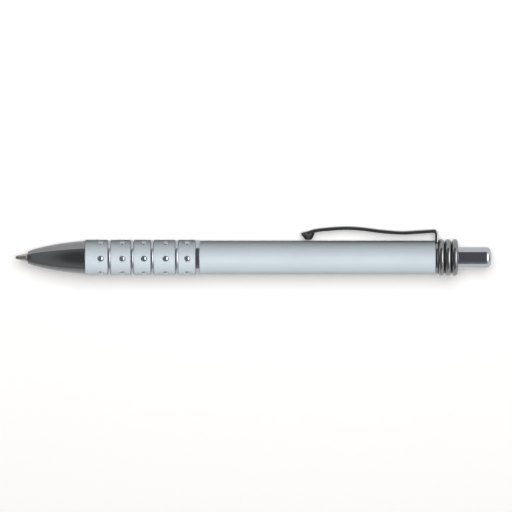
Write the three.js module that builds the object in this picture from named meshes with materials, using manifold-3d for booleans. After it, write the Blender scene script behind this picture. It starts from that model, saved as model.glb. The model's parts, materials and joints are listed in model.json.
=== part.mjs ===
// Pushbutton ballpoint pen with a satin grip and barrel, bright trim and a pocket clip.
// Sizes are in millimetres. The pen is drawn along +X from its writing tip, with the clip above the
// axis on +Z, and is then laid down as it comes to rest: on its cap rings and one edge of the clip.
import * as THREE from 'three';
import { mergeVertices } from 'three/addons/utils/BufferGeometryUtils.js';
import Module from 'manifold-3d';

const wasm = await Module();
wasm.setup();

// Fits
const seam = 0.05; // gap between two pieces that meet end to end
const pressGap = 0.03; // radial gap of a piece pushed into its seat
const runGap = 0.1; // radial gap of a piece that slides or turns

// Refill point
const ballRadius = 0.5;
const ballClearance = 0.05;
const ballShowing = 0.3; // how far the ball stands out of its socket
const lipRadius = 0.6;
const pointLength = 2.77; // from the ball's front to the nozzle
const pointBaseRadius = 1.0;
const shankRadius = 0.75;
const shankLength = 5.2;
const feedRadius = 0.25;

// Refill
const nozzleRadius = 1.2;
const nozzleLength = 25.2; // from its front to the shoulder that the spring pushes
const nozzleTaper = 1.2;
const nozzleSpigot = 5;
const nozzleBore = 0.55;
const refillLength = 98.1;
const refillRadius = 2.95;
const refillWall = 0.45;
const inkGap = 0.08;
const inkHeadroom = 6.93; // air between the follower and the plug
const followerLength = 3;
const plugLength = 3.4;
const plugSpigot = 2.5;
const plugRadius = 2.6;
const ventRadius = 0.4;

// Nose
const collarShowing = 0.88; // how much of the nozzle shows ahead of the nose
const noseLength = 16.91;
const noseFrontRadius = 1.79;
const noseRearRadius = 5;
const noseShape = [ // shares of the nose's length, and of its growth in radius
  [0, 0], [0.106, 0.212], [0.315, 0.483], [0.523, 0.698], [0.73, 0.853], [1, 1],
];
const noseSteps = 9;
const springSeat = 9; // from the nose's front to the step inside that holds the spring
const springRoom = 2.65;
const noseSpigot = 5.2;

// Return spring
const springCoilRadius = 2.05;
const springWireRadius = 0.22;
const springCurls = 12;
const stepsPerCurl = 8;
const wireSides = 5;

// Grip
const gripLength = 32.3;
const gripRadius = 5.18;
const gripWall = 0.78;
const gripRingPlaces = [7.07, 13.81, 19.67, 26.84]; // centres behind the grip's front edge
const gripRingWidth = 0.95;
const gripRingCrown = 0.2;
const gripRingDepth = 0.42;
const gripRingSplit = 0.4;
const gripRingSteps = 4;
const studRows = 5;
const studsAround = 6;
const firstStudRow = 4.54; // behind the grip's front edge
const studPitch = 6.36;
const studRadius = 0.85;
const studCrown = 0.24;
const studShoulder = [0.6, 0.68]; // share of the radius, and of the crown risen there
const studProud = 0.1;
const studDepth = 0.62;
const studTurn = -4; // degrees from the side of the pen, away from the clip

// Screw joint between grip and barrel
const jointRingLength = 1.23;
const jointRingRadius = 5.22;
const threadRadius = 3.66;
const threadLength = 7.5;
const threadRoot = 9;
const threadBore = 3.15;
const bushLength = 11;

// Barrel
const mechanismRoom = 25.34; // from the refill's rear end to the barrel's
const barrelRadius = 4.94;
const barrelWall = 0.74;

// Cap
const topBushLength = 12; // the stretch inside the barrel
const capSeatRadius = 4.05;
const flangeRoom = 3.5;
const mouthLip = 1;
const capRingCount = 3;
const capRingPitch = 2;
const capRingRadius = 5.5;
const capRingSection = 0.95;
const capRingSteps = 8;

// Clip
const clipSheet = 0.62;
const clipCrown = 0.46; // how far the arm is arched across its width
const clipHalfWidth = 2.2;
const clipTipHalfWidth = 2.2;
const collarThickness = 0.72;
const collarRadius = 5;
const stubHeight = 0.66; // how far the collar's tab stands above the barrel
const cornerRadius = 0.9;
const clipReach = 37.7; // from the leg to the middle of the pad that pinches the barrel
const clipLine = [ // shares of the reach ahead of the leg, with heights above the barrel
  [0.945, 3.06], [0.86, 3.45], [0.72, 3.8], [0.59, 3.58], [0.43, 2.84], [0.275, 2.42],
  [0.14, 2.66],
];
const clipCornerHeight = 2.93;
const clipPadHeight = 2.5; // middle of the sheet over the pad, above the barrel
const clipTipDrop = 0.7;
const clipSteps = 20;
const clipTipTurns = [80, 65, 45, 22]; // degrees round the free end
const clipCornerSteps = 4;
const clipArch = [[-1, 1], [-0.5, 0.25], [0, 0], [0.5, 0.25], [1, 1]]; // across, and fallen
const padGap = 0.22;
const padFlat = 0.7;
const padBowl = [[0.6, 0.22], [0.82, 0.46], [0.95, 0.7]]; // shares of its radius and depth
const padRoot = 0.6; // share of its radius where it joins the sheet
const padSides = 16;

// Push button and cam
const buttonShowing = 9.75;
const buttonRadius = 3.1;
const buttonEdge = 1.5;
const buttonEdgeSteps = 5;
const buttonFlange = 3.4;
const flangeLength = 1.5;
const buttonBore = 1.7;
const buttonBoreDepth = 7;
const retractTravel = 5.5;
const stopGap = 0.3; // between the button's flange and the mouth once the point is drawn in
const releaseTravel = 1.5;
const finCount = 3;
const finWidth = 0.9;
const finRadius = 2.85;
const camRadius = 2.2;
const camGap = 0.15;
const rotorLength = 7.7;
const rotorFinLead = 1.2;
const rotorFinLength = 4;
const rotorSocket = 1.3;
const rotorLead = 2.6; // how far the rotor moves back before its fins enter the slots
const plungerFinLead = 1.1;
const plungerFinLength = 5;
const plungerSpigot = 5.5;
const plungerTooth = 0.5;
const statorWall = 0.5;
const statorBore = 2.97;
const statorFrontRoom = 1.2;
const landWidth = 1.2;
const landRadius = 2.35;

// How finely round pieces are faceted
const sides = 32;
const studSides = 8;
const ballSides = 12;
const ballRings = 8;
const cutMargin = 1; // how far a cut runs past what it cuts

// Places along the pen, worked out from the sizes above
const noseFront = pointLength + collarShowing;
const noseRear = noseFront + noseLength;
const gripFront = noseRear + seam;
const gripRear = gripFront + gripLength;
const jointFront = gripRear + seam;
const jointRear = jointFront + jointRingLength;
const barrelFront = jointRear + seam;
const barrelLength = refillLength + mechanismRoom - barrelFront;
const barrelRear = barrelFront + barrelLength;
const collarFront = barrelRear + seam;
const collarRear = collarFront + collarThickness;
const firstCapRing = collarRear + seam + capRingSection;
const capRear = firstCapRing + capRingPitch * (capRingCount - 1) + capRingSection;
const buttonEnd = capRear + buttonShowing;
const buttonFront = capRear - mouthLip - stopGap - retractTravel - flangeLength;
const nozzleShoulder = pointLength + nozzleLength;
const tubeFront = nozzleShoulder + nozzleTaper;
const tubeRear = refillLength - plugLength;
const inkFront = tubeFront + nozzleSpigot + seam;
const followerRear = tubeRear - plugSpigot - inkHeadroom;
const followerFront = followerRear - followerLength;
const inkLength = followerFront - seam - inkFront;
const rotorFront = refillLength + camGap;
const rotorRear = rotorFront + rotorLength;
const plungerFront = rotorRear + camGap;
const landFront = rotorFront + rotorFinLead + rotorFinLength + rotorLead;
const statorRear = buttonFront - releaseTravel - 2 * seam;

// Radii that follow from the pieces they fit
const gripBore = gripRadius - gripWall;
const barrelBore = barrelRadius - barrelWall;
const refillBore = refillRadius - refillWall;
const statorRadius = statorBore + statorWall;
const legPlace = collarFront + collarThickness / 2;

const materials = {
  chrome: { color: 0x8c9298, roughness: 0.12, metalness: 1 },
  darkChrome: { color: 0x5c5f63, roughness: 0.16, metalness: 1 },
  satin: { color: 0xc6cdd2, roughness: 0.42, metalness: 0.9 },
  brass: { color: 0xb08d4c, roughness: 0.35, metalness: 1 },
  nickel: { color: 0xa39f94, roughness: 0.25, metalness: 1 },
  carbide: { color: 0x4b4d50, roughness: 0.2, metalness: 1 },
  steel: { color: 0xa9adb0, roughness: 0.3, metalness: 1 },
  blackPlastic: { color: 0x1d1e20, roughness: 0.5, metalness: 0 },
  whitePlastic: { color: 0xe6e4dc, roughness: 0.45, metalness: 0 },
  ink: { color: 0x101c4a, roughness: 0.3, metalness: 0 },
  grease: { color: 0xc9c39a, roughness: 0.5, metalness: 0 },
};

const pen = new THREE.Group();

function addPiece(name, geometry, finish) {
  const piece = new THREE.Mesh(geometry, new THREE.MeshStandardMaterial(materials[finish]));
  piece.name = name;
  pen.add(piece);
}

// Keeps only positions, with shared corners merged
function positionsOnly(geometry) {
  const bare = new THREE.BufferGeometry();
  bare.setAttribute('position', geometry.getAttribute('position').clone());
  if (geometry.index) {
    bare.setIndex(geometry.index.clone());
  }
  return mergeVertices(bare, 1e-5);
}

function asSolid(geometry) {
  const merged = positionsOnly(geometry);
  const vertProperties = new Float32Array(merged.getAttribute('position').array);
  const triVerts = new Uint32Array(merged.index.array);
  return new wasm.Manifold(new wasm.Mesh({ numProp: 3, vertProperties, triVerts }));
}

function asGeometry(solid) {
  const mesh = solid.getMesh();
  const geometry = new THREE.BufferGeometry();
  geometry.setAttribute('position', new THREE.Float32BufferAttribute(mesh.vertProperties, 3));
  geometry.setIndex(Array.from(mesh.triVerts));
  geometry.computeVertexNormals();
  return geometry;
}

// Turns an outline of [place along the pen, radius] points about the pen's axis
function turned(outline, facets = sides) {
  const points = outline.map(([along, radius]) => new THREE.Vector2(radius, along));
  if (THREE.ShapeUtils.area(points) < 0) {
    points.reverse();
  }
  const isHollow = points[0].x > 0 || points[points.length - 1].x > 0;
  if (isHollow) {
    points.push(points[0].clone());
  }
  return positionsOnly(new THREE.LatheGeometry(points, facets).rotateZ(-Math.PI / 2));
}

function tube(front, rear, inner, outer) {
  return turned([[front, inner], [front, outer], [rear, outer], [rear, inner]]);
}

// Points of an arc that bulges outwards between two places at the same radius
function crownArc(middle, halfWidth, rim, crown, steps) {
  const arcRadius = (halfWidth ** 2 + crown ** 2) / (2 * crown);
  const half = Math.asin(Math.min(halfWidth / arcRadius, 1));
  const points = [];
  for (let i = 0; i <= steps; i += 1) {
    const angle = half * (2 * i / steps - 1);
    const rise = arcRadius * (Math.cos(angle) - Math.cos(half));
    points.push([middle + arcRadius * Math.sin(angle), rim + rise]);
  }
  return points;
}

// A block along the pen, centred across it, from one radius to another on the clip's side
function radialBlock(front, rear, width, inner, outer, turn) {
  const block = new THREE.BoxGeometry(rear - front, width, outer - inner);
  block.translate((front + rear) / 2, 0, (inner + outer) / 2);
  return block.rotateX(turn);
}

// Outline height of a fin whose corners stay inside a radius
function finTop(radius, width) {
  return Math.sqrt(radius ** 2 - (width / 2) ** 2);
}

// One shape for each fin of the cam, spaced evenly round the axis
function aroundFins(firstTurn, make) {
  const shapes = [];
  for (let i = 0; i < finCount; i += 1) {
    shapes.push(make(firstTurn + i * 2 * Math.PI / finCount));
  }
  return shapes;
}

function joinAll(body, additions) {
  return additions.reduce((joined, next) => joined.add(asSolid(next)), body);
}

function cutAll(body, cuts) {
  return cuts.reduce((left, next) => left.subtract(asSolid(next)), body);
}

// Refill: ball, socket, nozzle, tube, ink, follower and plug
function buildBall() {
  const ball = new THREE.SphereGeometry(ballRadius, ballSides, ballRings);
  ball.translate(ballRadius, 0, 0);
  addPiece('writing_ball', positionsOnly(ball), 'carbide');
}

function buildTipSocket() {
  const cup = ballRadius + ballClearance;
  const cupFloor = 2 * ballRadius + ballClearance;
  const lipInner = Math.sqrt(ballRadius ** 2 - (ballRadius - ballShowing) ** 2) + ballClearance / 2;
  const shankRear = pointLength + shankLength;
  addPiece('tip_socket', turned([
    [ballShowing, lipInner], [ballShowing, lipRadius], [pointLength, pointBaseRadius],
    [pointLength, shankRadius], [shankRear, shankRadius], [shankRear, feedRadius],
    [cupFloor + cup - feedRadius, feedRadius], [cupFloor, cup], [ballRadius, cup],
  ]), 'nickel');
}

function buildNozzle() {
  const front = pointLength + seam;
  const spigotRadius = refillBore - pressGap;
  const spigotRear = tubeFront + nozzleSpigot;
  const shankSeat = pointLength + shankLength + seam;
  addPiece('refill_nozzle', turned([
    [front, shankRadius + pressGap], [front, nozzleRadius],
    [nozzleShoulder, nozzleRadius], [nozzleShoulder, refillBore],
    [tubeFront - seam, refillRadius], [tubeFront - seam, spigotRadius],
    [spigotRear, spigotRadius], [spigotRear, nozzleBore],
    [shankSeat, nozzleBore], [shankSeat, shankRadius + pressGap],
  ]), 'nickel');
}

function buildRefillTube() {
  addPiece('refill_tube', tube(tubeFront, tubeRear, refillBore, refillRadius), 'steel');
}

function plug(front, rear, radius) {
  return turned([[front, 0], [front, radius], [rear, radius], [rear, 0]]);
}

function buildInk() {
  const radius = refillBore - inkGap;
  addPiece('ink', plug(inkFront, inkFront + inkLength, radius), 'ink');
  addPiece('ink_follower', plug(followerFront, followerRear, radius), 'grease');
}

function buildRefillPlug() {
  const front = tubeRear - plugSpigot;
  const shoulder = tubeRear + seam;
  const spigotRadius = refillBore - pressGap;
  addPiece('refill_end_plug', turned([
    [front, ventRadius], [front, spigotRadius], [shoulder, spigotRadius],
    [shoulder, plugRadius], [refillLength, plugRadius], [refillLength, ventRadius],
  ]), 'whitePlastic');
}

// Return spring, one unbroken helix round the nozzle
class Helix extends THREE.Curve {
  constructor(front, rear) {
    super();
    this.front = front;
    this.rear = rear;
  }

  getPoint(share, target = new THREE.Vector3()) {
    const turn = share * springCurls * 2 * Math.PI;
    const along = THREE.MathUtils.lerp(this.front, this.rear, share);
    return target.set(along, springCoilRadius * Math.cos(turn), springCoilRadius * Math.sin(turn));
  }
}

// Least distance between the wire of one curl and any wire half a curl or more away
function leastCurlGap(helix) {
  const samples = springCurls * stepsPerCurl;
  const points = helix.getPoints(samples);
  let least = Infinity;
  for (let i = 0; i < points.length; i += 1) {
    for (let j = i + stepsPerCurl / 2; j < points.length; j += 1) {
      least = Math.min(least, points[i].distanceTo(points[j]));
    }
  }
  return least - 2 * springWireRadius;
}

function buildSpring() {
  const reach = springWireRadius + 2 * seam;
  const helix = new Helix(noseFront + springSeat + reach, nozzleShoulder - reach);
  const section = new THREE.Shape();
  for (let i = 0; i < wireSides; i += 1) {
    const turn = i * 2 * Math.PI / wireSides;
    const corner = [springWireRadius * Math.cos(turn), springWireRadius * Math.sin(turn)];
    if (i === 0) {
      section.moveTo(...corner);
    } else {
      section.lineTo(...corner);
    }
  }
  const wire = new THREE.ExtrudeGeometry(section, {
    steps: springCurls * stepsPerCurl, extrudePath: helix, bevelEnabled: false,
  });
  console.log(`return spring: least gap to itself ${leastCurlGap(helix).toFixed(2)} mm`);
  addPiece('return_spring', positionsOnly(wire), 'steel');
}

// Front section: nose, grip with its rings and studs, and the threaded bush
function noseOutline() {
  const growth = noseRearRadius - noseFrontRadius;
  const knots = noseShape.map(([share, grown]) => new THREE.Vector2(
    noseFront + share * noseLength, noseFrontRadius + grown * growth));
  return new THREE.SplineCurve(knots).getPoints(noseSteps).map(({ x, y }) => [x, y]);
}

function buildNose() {
  const hole = nozzleRadius + runGap;
  const seat = noseFront + springSeat;
  const spigotRadius = gripBore - pressGap;
  const spigotRear = noseRear + noseSpigot;
  addPiece('nose_cone', turned([
    [noseFront, hole], ...noseOutline(), [noseRear, spigotRadius], [spigotRear, spigotRadius],
    [spigotRear, springRoom], [seat, springRoom], [seat, hole],
  ]), 'darkChrome');
}

function gripRingEdges(place) {
  const middle = gripFront + place;
  return [middle - gripRingWidth / 2, middle + gripRingWidth / 2];
}

// One stud standing on the clip's side of the axis, to be turned to its place
function studShape(row, radius, base, top, rim) {
  const [shoulderAcross, shoulderUp] = studShoulder;
  const outline = [
    [0, base], [radius, base], [radius, rim],
    [shoulderAcross * radius, rim + shoulderUp * (top - rim)], [0, top],
  ];
  const points = outline.map(([across, up]) => new THREE.Vector2(across, up));
  const stud = new THREE.LatheGeometry(points, studSides).rotateX(Math.PI / 2);
  return stud.translate(gripFront + firstStudRow + row * studPitch, 0, 0);
}

function eachStud(make) {
  for (let row = 0; row < studRows; row += 1) {
    for (let place = 0; place < studsAround; place += 1) {
      const fromSide = THREE.MathUtils.degToRad(studTurn) + place * 2 * Math.PI / studsAround;
      make(row, place, Math.PI / 2 - fromSide);
    }
  }
}

function buildGrip() {
  const outer = [];
  for (const place of gripRingPlaces) {
    const [front, rear] = gripRingEdges(place);
    const floor = gripRadius - gripRingDepth;
    outer.push([front - pressGap, gripRadius], [front - pressGap, floor]);
    outer.push([rear + pressGap, floor], [rear + pressGap, gripRadius]);
  }
  const blank = turned([
    [gripFront, gripBore], [gripFront, gripRadius], ...outer,
    [gripRear, gripRadius], [gripRear, gripBore],
  ]);
  const holes = [];
  eachStud((row, place, turn) => {
    const radius = studRadius + pressGap;
    const past = gripRadius + cutMargin;
    holes.push(studShape(row, radius, gripBore - cutMargin, past, past).rotateX(turn));
  });
  addPiece('grip_sleeve', asGeometry(cutAll(asSolid(blank), holes)), 'satin');
}

function buildGripRings() {
  gripRingPlaces.forEach((place, i) => {
    const [front, rear] = gripRingEdges(place);
    const inner = gripRadius - gripRingDepth + pressGap;
    const rim = gripRadius - gripRingCrown;
    const middle = (front + rear) / 2;
    const crown = crownArc(middle, gripRingWidth / 2, rim, gripRingCrown, gripRingSteps);
    const ring = turned([[front, inner], ...crown, [rear, inner]]);
    const split = radialBlock(
      front - cutMargin, rear + cutMargin, gripRingSplit, inner - cutMargin, gripRadius + cutMargin,
      Math.PI);
    addPiece(`grip_ring_${i + 1}`, asGeometry(cutAll(asSolid(ring), [split])), 'chrome');
  });
}

function buildStuds() {
  const top = gripRadius + studProud;
  eachStud((row, place, turn) => {
    const stud = studShape(row, studRadius, gripRadius - studDepth, top, top - studCrown);
    addPiece(`grip_stud_${row + 1}_${place + 1}`, positionsOnly(stud.rotateX(turn)), 'chrome');
  });
}

function buildFrontBush() {
  const rootRadius = gripBore - pressGap;
  addPiece('front_thread_bush', turned([
    [gripRear - threadRoot, threadBore], [gripRear - threadRoot, rootRadius],
    [gripRear, rootRadius], [gripRear, threadRadius],
    [barrelFront + threadLength, threadRadius], [barrelFront + threadLength, threadBore],
  ]), 'brass');
}

// Barrel, with the joint ring and threaded bush at its front
function buildBarrel() {
  const bushFront = barrelFront + 2 * seam;
  const throat = threadRadius + runGap;
  addPiece('joint_ring', tube(jointFront, jointRear, throat, jointRingRadius), 'chrome');
  addPiece('barrel_tube', tube(barrelFront, barrelRear, barrelBore, barrelRadius), 'satin');
  addPiece('barrel_thread_bush',
    tube(bushFront, bushFront + bushLength, throat, barrelBore - pressGap), 'brass');
}

// Cap: the bush that carries the clip's collar and the rings
function buildTopBush() {
  const mouth = buttonRadius + runGap;
  addPiece('top_bush', turned([
    [barrelRear - topBushLength, flangeRoom], [barrelRear - topBushLength, barrelBore - pressGap],
    [barrelRear, barrelBore - pressGap], [barrelRear, capSeatRadius],
    [capRear, capSeatRadius], [capRear, mouth], [capRear - mouthLip, mouth],
    [capRear - mouthLip, flangeRoom],
  ]), 'blackPlastic');
}

function buildCapRings() {
  const bore = capSeatRadius + pressGap;
  const centre = capRingRadius - capRingSection;
  for (let i = 0; i < capRingCount; i += 1) {
    const middle = firstCapRing + i * capRingPitch;
    const front = middle - capRingSection;
    const rear = middle + capRingSection;
    const crown = crownArc(middle, capRingSection, centre, capRingSection, capRingSteps);
    addPiece(`cap_ring_${i + 1}`, turned([[front, bore], ...crown, [rear, bore]]), 'darkChrome');
  }
}

// Clip: a collar with a tab, and the arched arm that springs on it
function buildCollar() {
  const ring = tube(collarFront, collarRear, capSeatRadius + pressGap, collarRadius);
  const tabTop = barrelRadius + stubHeight;
  const tabFoot = (capSeatRadius + collarRadius) / 2;
  const tab = radialBlock(collarFront, collarRear, 2 * clipHalfWidth, tabFoot, tabTop, 0);
  addPiece('clip_collar', asGeometry(joinAll(asSolid(ring), [tab])), 'darkChrome');
}

// Stations along the clip from its free end: middle of the sheet, outward normal, half width, arch
function clipStations() {
  const padPlace = legPlace - clipReach;
  const padTop = barrelRadius + clipPadHeight;
  const corner = new THREE.Vector2(legPlace - cornerRadius, barrelRadius + clipCornerHeight);
  const line = new THREE.SplineCurve([
    new THREE.Vector2(padPlace - clipTipHalfWidth, padTop - clipTipDrop),
    new THREE.Vector2(padPlace, padTop),
    ...clipLine.map(([share, height]) => new THREE.Vector2(
      legPlace - share * clipReach, barrelRadius + height)),
    corner,
  ]);
  const stations = [];
  const add = (middle, normal, halfWidth, arch) => {
    stations.push({ middle, normal, halfWidth, arch });
  };
  const straight = (share) => {
    const way = line.getTangentAt(share);
    return [line.getPointAt(share), new THREE.Vector2(-way.y, way.x)];
  };
  const roundShare = clipTipHalfWidth / line.getLength();
  for (const degrees of clipTipTurns) {
    const turn = THREE.MathUtils.degToRad(degrees);
    add(...straight(roundShare * (1 - Math.sin(turn))), clipTipHalfWidth * Math.cos(turn), 1);
  }
  for (let i = 0; i <= clipSteps; i += 1) {
    const share = THREE.MathUtils.lerp(roundShare, 1, i / clipSteps);
    const halfWidth = THREE.MathUtils.lerp(clipTipHalfWidth, clipHalfWidth, i / clipSteps);
    add(...straight(share), halfWidth, 1);
  }
  const centre = new THREE.Vector2(corner.x, corner.y - cornerRadius);
  for (let i = 1; i <= clipCornerSteps; i += 1) {
    const share = i / clipCornerSteps;
    const turn = share * Math.PI / 2;
    const normal = new THREE.Vector2(Math.sin(turn), Math.cos(turn));
    add(centre.clone().addScaledVector(normal, cornerRadius), normal, clipHalfWidth, 1 - share);
  }
  const foot = new THREE.Vector2(legPlace, barrelRadius + stubHeight + seam);
  add(foot, new THREE.Vector2(1, 0), clipHalfWidth, 0);
  return stations;
}

// Cross-section of the arched sheet: [across, out from the middle of the sheet] points
function clipSection(halfWidth, arch) {
  const crown = clipCrown * arch;
  const outer = (clipSheet + crown) / 2;
  const top = clipArch.map(([across, fall]) => [across * halfWidth, outer - fall * crown]);
  const below = top.map(([across, out]) => [across, out - clipSheet]).reverse();
  return [...top, ...below];
}

function sheetAlong(stations) {
  const rings = stations.map(({ middle, normal, halfWidth, arch }) =>
    clipSection(halfWidth, arch).map(([across, out]) => [
      middle.x + normal.x * out, across, middle.y + normal.y * out,
    ]));
  const count = rings[0].length;
  const index = [];
  for (let i = 0; i + 1 < rings.length; i += 1) {
    for (let j = 0; j < count; j += 1) {
      const next = (j + 1) % count;
      const [here, ahead] = [i * count, (i + 1) * count];
      index.push(here + j, ahead + j, ahead + next, here + j, ahead + next, here + next);
    }
  }
  const last = (rings.length - 1) * count;
  for (let j = 0; j < count / 2 - 1; j += 1) {
    const [a, b, c, d] = [j, j + 1, count - 2 - j, count - 1 - j];
    index.push(a, b, c, a, c, d);
    index.push(last + a, last + c, last + b, last + a, last + d, last + c);
  }
  const geometry = new THREE.BufferGeometry();
  geometry.setAttribute('position', new THREE.Float32BufferAttribute(rings.flat(2), 3));
  geometry.setIndex(index);
  return geometry;
}

// The round pad pressed out of the clip's end, with the flat that meets the barrel
function clipPad() {
  const flat = barrelRadius + padGap;
  const top = barrelRadius + clipPadHeight;
  const bowl = padBowl.map(([across, up]) => [across * clipTipHalfWidth, flat + up * (top - flat)]);
  const outline = [
    [0, flat], [padFlat, flat], ...bowl, [padRoot * clipTipHalfWidth, top], [0, top],
  ];
  const points = outline.map(([radius, up]) => new THREE.Vector2(radius, up));
  const pad = new THREE.LatheGeometry(points, padSides).rotateX(Math.PI / 2);
  return pad.translate(legPlace - clipReach, 0, 0);
}

function buildClipArm() {
  const arm = asSolid(sheetAlong(clipStations()));
  addPiece('clip_arm', asGeometry(joinAll(arm, [clipPad()])), 'darkChrome');
}

// Button, plunger, rotor and the cam sleeve round them
function buildButton() {
  const cornerPoints = [];
  for (let i = 0; i <= buttonEdgeSteps; i += 1) {
    const turn = i / buttonEdgeSteps * Math.PI / 2;
    const back = buttonEdge * (1 - Math.cos(turn));
    const inwards = buttonEdge * (1 - Math.sin(turn));
    cornerPoints.push([buttonEnd - back, buttonRadius - inwards]);
  }
  const boreEnd = buttonFront + buttonBoreDepth;
  addPiece('push_button', turned([
    [buttonEnd, 0], ...cornerPoints, [buttonFront + flangeLength, buttonRadius],
    [buttonFront + flangeLength, buttonFlange], [buttonFront, buttonFlange],
    [buttonFront, buttonBore], [boreEnd, buttonBore], [boreEnd, 0],
  ]), 'chrome');
}

function buildPlunger() {
  const shoulder = buttonFront - seam;
  const neck = buttonBore - pressGap;
  const spigotRear = buttonFront + plungerSpigot;
  const body = turned([
    [plungerFront, 0], [plungerFront, camRadius], [shoulder, camRadius], [shoulder, neck],
    [spigotRear, neck], [spigotRear, 0],
  ]);
  const finFront = plungerFront + plungerFinLead;
  const fins = aroundFins(Math.PI / finCount, (turn) => radialBlock(
    finFront, finFront + plungerFinLength, finWidth, 0, finTop(finRadius, finWidth), turn));
  const notchSide = plungerTooth * Math.SQRT2;
  const notchLength = 2 * (camRadius + cutMargin);
  const notches = aroundFins(Math.PI / finCount / 2, (turn) => {
    const cut = new THREE.BoxGeometry(notchSide, notchSide, notchLength);
    return cut.rotateZ(Math.PI / 4).translate(plungerFront, 0, 0).rotateX(turn);
  });
  addPiece('plunger', asGeometry(cutAll(joinAll(asSolid(body), fins), notches)), 'whitePlastic');
}

function buildRotor() {
  const body = turned([
    [rotorFront, 0], [rotorFront, camRadius], [rotorRear, camRadius], [rotorRear, rotorSocket],
    [rotorRear - rotorSocket, 0],
  ]);
  const finFront = rotorFront + rotorFinLead;
  const fins = aroundFins(0, (turn) => radialBlock(
    finFront, finFront + rotorFinLength, finWidth, 0, finTop(finRadius, finWidth), turn));
  addPiece('cam_rotor', asGeometry(joinAll(asSolid(body), fins)), 'blackPlastic');
}

function buildCamSleeve() {
  const sleeve = tube(rotorFront - statorFrontRoom, statorRear, statorBore, statorRadius);
  const lands = aroundFins(0, (turn) => radialBlock(
    landFront, statorRear, landWidth, landRadius, statorBore + statorWall / 2, turn));
  addPiece('cam_sleeve', asGeometry(joinAll(asSolid(sleeve), lands)), 'blackPlastic');
}

buildBall();
buildTipSocket();
buildNozzle();
buildRefillTube();
buildInk();
buildRefillPlug();
buildSpring();
buildNose();
buildGrip();
buildGripRings();
buildStuds();
buildFrontBush();
buildBarrel();
buildTopBush();
buildCapRings();
buildCollar();
buildClipArm();
buildButton();
buildPlunger();
buildRotor();
buildCamSleeve();

// How far the clip hangs below level when the pen lies on its cap rings and the clip's lower edge
function restAngle() {
  const highest = clipStations().reduce((a, b) => (b.middle.y > a.middle.y ? b : a));
  const across = highest.halfWidth;
  const edge = highest.middle.y + (clipSheet + clipCrown) / 2 - clipCrown;
  return Math.asin(capRingRadius / Math.hypot(edge, across)) - Math.atan2(across, edge);
}

pen.rotation.x = -(Math.PI / 2 + restAngle());
pen.updateMatrixWorld(true);
const extent = new THREE.Box3().setFromObject(pen, true);
const middle = extent.getCenter(new THREE.Vector3());
pen.position.set(-middle.x, -middle.y, -extent.min.z);

const group = new THREE.Group();
group.add(pen);

export default group;
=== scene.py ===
"""Pushbutton ballpoint pen: fine shapes, procedural finishes and a studio round its frame."""
import json
from functools import lru_cache, partial
from math import asin, cos, pi, radians, sin, tan
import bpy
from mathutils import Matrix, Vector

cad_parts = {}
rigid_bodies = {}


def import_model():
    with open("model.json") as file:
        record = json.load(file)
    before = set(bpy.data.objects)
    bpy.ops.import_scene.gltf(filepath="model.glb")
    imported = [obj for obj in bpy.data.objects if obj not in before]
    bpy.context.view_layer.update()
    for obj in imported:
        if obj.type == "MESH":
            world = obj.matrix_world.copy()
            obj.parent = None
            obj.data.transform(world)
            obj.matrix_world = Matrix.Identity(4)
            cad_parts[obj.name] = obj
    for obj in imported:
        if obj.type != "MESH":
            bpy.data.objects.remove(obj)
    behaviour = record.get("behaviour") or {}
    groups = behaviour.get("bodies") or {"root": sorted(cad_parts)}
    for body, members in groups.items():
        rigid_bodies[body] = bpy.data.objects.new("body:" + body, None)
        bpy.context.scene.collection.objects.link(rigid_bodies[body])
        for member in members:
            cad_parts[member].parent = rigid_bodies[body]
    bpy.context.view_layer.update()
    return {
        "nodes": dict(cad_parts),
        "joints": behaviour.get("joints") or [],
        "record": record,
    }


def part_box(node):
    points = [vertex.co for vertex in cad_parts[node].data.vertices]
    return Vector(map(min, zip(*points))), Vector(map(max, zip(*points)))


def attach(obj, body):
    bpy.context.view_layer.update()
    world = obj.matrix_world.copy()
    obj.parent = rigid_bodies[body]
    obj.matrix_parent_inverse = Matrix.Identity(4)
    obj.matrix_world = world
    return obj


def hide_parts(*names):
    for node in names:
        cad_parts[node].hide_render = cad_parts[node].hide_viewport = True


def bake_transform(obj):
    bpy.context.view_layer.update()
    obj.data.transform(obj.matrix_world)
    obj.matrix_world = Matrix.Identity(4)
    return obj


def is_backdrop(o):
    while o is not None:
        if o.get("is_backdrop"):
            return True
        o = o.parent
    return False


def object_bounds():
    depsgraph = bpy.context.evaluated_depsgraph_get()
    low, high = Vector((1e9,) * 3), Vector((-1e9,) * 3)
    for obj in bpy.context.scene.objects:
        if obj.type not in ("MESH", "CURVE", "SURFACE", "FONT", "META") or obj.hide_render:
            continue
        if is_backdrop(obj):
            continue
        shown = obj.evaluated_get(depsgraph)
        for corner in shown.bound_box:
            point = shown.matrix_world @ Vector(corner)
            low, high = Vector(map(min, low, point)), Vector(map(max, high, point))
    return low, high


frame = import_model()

from types import SimpleNamespace

import bmesh
import bpy
from bpy.props import FloatProperty, FloatVectorProperty, IntProperty, PointerProperty
from bpy.types import Operator, Panel, PropertyGroup
from mathutils import Matrix, Vector

bl_info = {
    "name": "Pushbutton ballpoint pen",
    "version": (1, 0, 0),
    "blender": (4, 5, 0),
    "location": "3D View > Sidebar > Pen",
    "description": "Builds the pen's pieces, finishes and studio round its packed frame",
    "category": "Object",
}

MM = 0.001
TURN = 2 * pi
TINY = 1e-6
COLUMNS = 144  # facets round a turned piece
CORNER_STEPS = 3  # facets over a rounded corner

# Millimetres that several pieces share
FIT = 0.03  # clearance between pieces pressed together
BUTT = 0.05  # gap between pieces end to end
GRIP_BORE, SPIGOT = 4.4, 4.37  # the grip's bore, and what is pressed into it
BUSH = 4.17  # what is pressed into the barrel
THREAD, THREAD_BORE, PLAIN_END = 3.66, 3.76, 0.4  # the screw joint, and its unthreaded ends
REFILL, REFILL_BORE, NOZZLE = 2.95, 2.47, 1.2


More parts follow.
